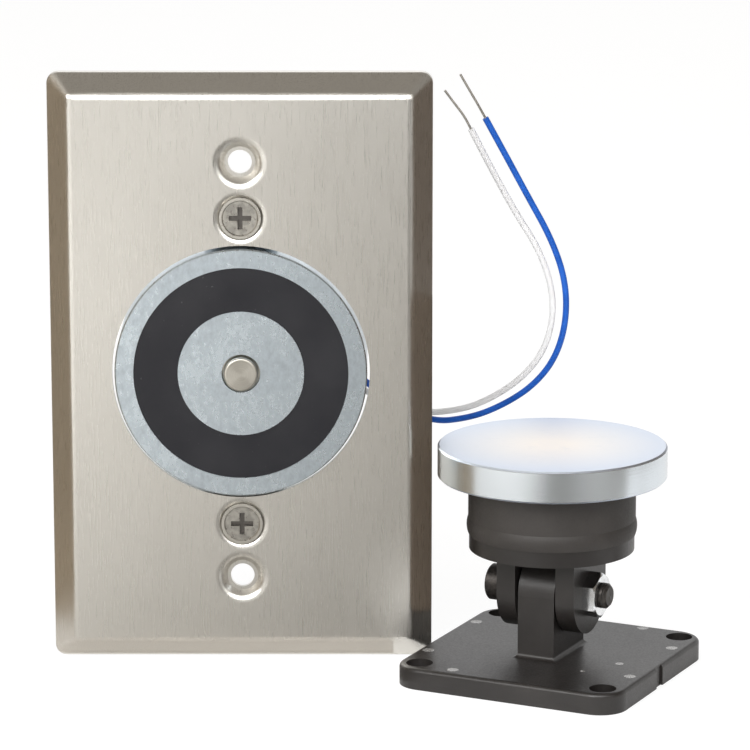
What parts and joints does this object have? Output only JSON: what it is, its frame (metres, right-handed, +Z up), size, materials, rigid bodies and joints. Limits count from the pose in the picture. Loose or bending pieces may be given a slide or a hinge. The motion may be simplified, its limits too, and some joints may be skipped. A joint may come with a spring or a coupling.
{
  "type": "electromagnetic door holder",
  "caption": "Flush wall magnet on a bevelled face plate, with release button and leads, and its swivelling armature disc on a square base.",
  "frame": {"origin": "midway between the two wall screws, on the magnet's axis, in the plane of the plate's pressed screw seats; the wall is 4 mm behind it", "axes": "+Y into the wall along the magnet's axis, +Z up, +X to the right of someone facing the plate; the pole faces look towards -Y"},
  "size_m": [0.1286, 0.0859, 0.1178],
  "materials": {
    "stainless": "satin, fine upright grain",
    "plated_steel": "zinc plated, faintly mottled",
    "plated_disc": "bright zinc plated, ground",
    "nickel": "nickel plated, turned",
    "black_resin": "satin cast resin",
    "natural_nylon": "moulded",
    "copper": "enamelled wire",
    "spring_steel": "bright drawn",
    "galvanised": "zinc plated",
    "black_rubber": "matte",
    "blue_insulation": "satin",
    "white_insulation": "satin",
    "tinned_wire": "tinned copper",
    "black_moulding": "fine matte moulding",
    "black_steel": "black oxide",
    "bright_zinc": "bright zinc plated"
  },
  "bodies": {
    "root": {"wall_plate": "stainless", "magnet_housing": "plated_steel", "pole_core": "plated_steel", "coil_bobbin": "natural_nylon", "coil_winding": "copper", "face_potting": "black_resin", "plunger_spring": "spring_steel", "plunger_retainer": "spring_steel", "mounting_bracket": "galvanised", "bracket_screws": "nickel", "core_nut": "galvanised", "lock_washer": "galvanised", "lead_grommet": "black_rubber", "lead_blue": "blue_insulation", "lead_white": "white_insulation", "lead_blue_end": "tinned_wire", "lead_white_end": "tinned_wire", "base_plate": "black_moulding"},
    "plunger": {"release_plunger": "nickel"},
    "head": {"clevis": "black_moulding", "cushion_collar": "black_rubber", "collar_sleeve": "galvanised", "armature_disc": "plated_disc", "disc_screw": "galvanised", "pivot_bolt": "black_steel", "pivot_nut": "bright_zinc"}
  },
  "joints": [
    {"name": "plunger_press", "type": "slide", "parent": "root", "child": "plunger", "axis": [0, 1, 0], "range_m": [0, 0.0013], "stiffness_N_per_m": 500, "springref_m": -0.004, "deforming": ["plunger_spring"]},
    {"name": "armature_pivot", "type": "hinge", "parent": "root", "child": "head", "pos_m": [0.06102, -0.008, -0.04225], "axis": [0.8988, -0.4384, 0], "range_deg": [-60, 60]}
  ]
}
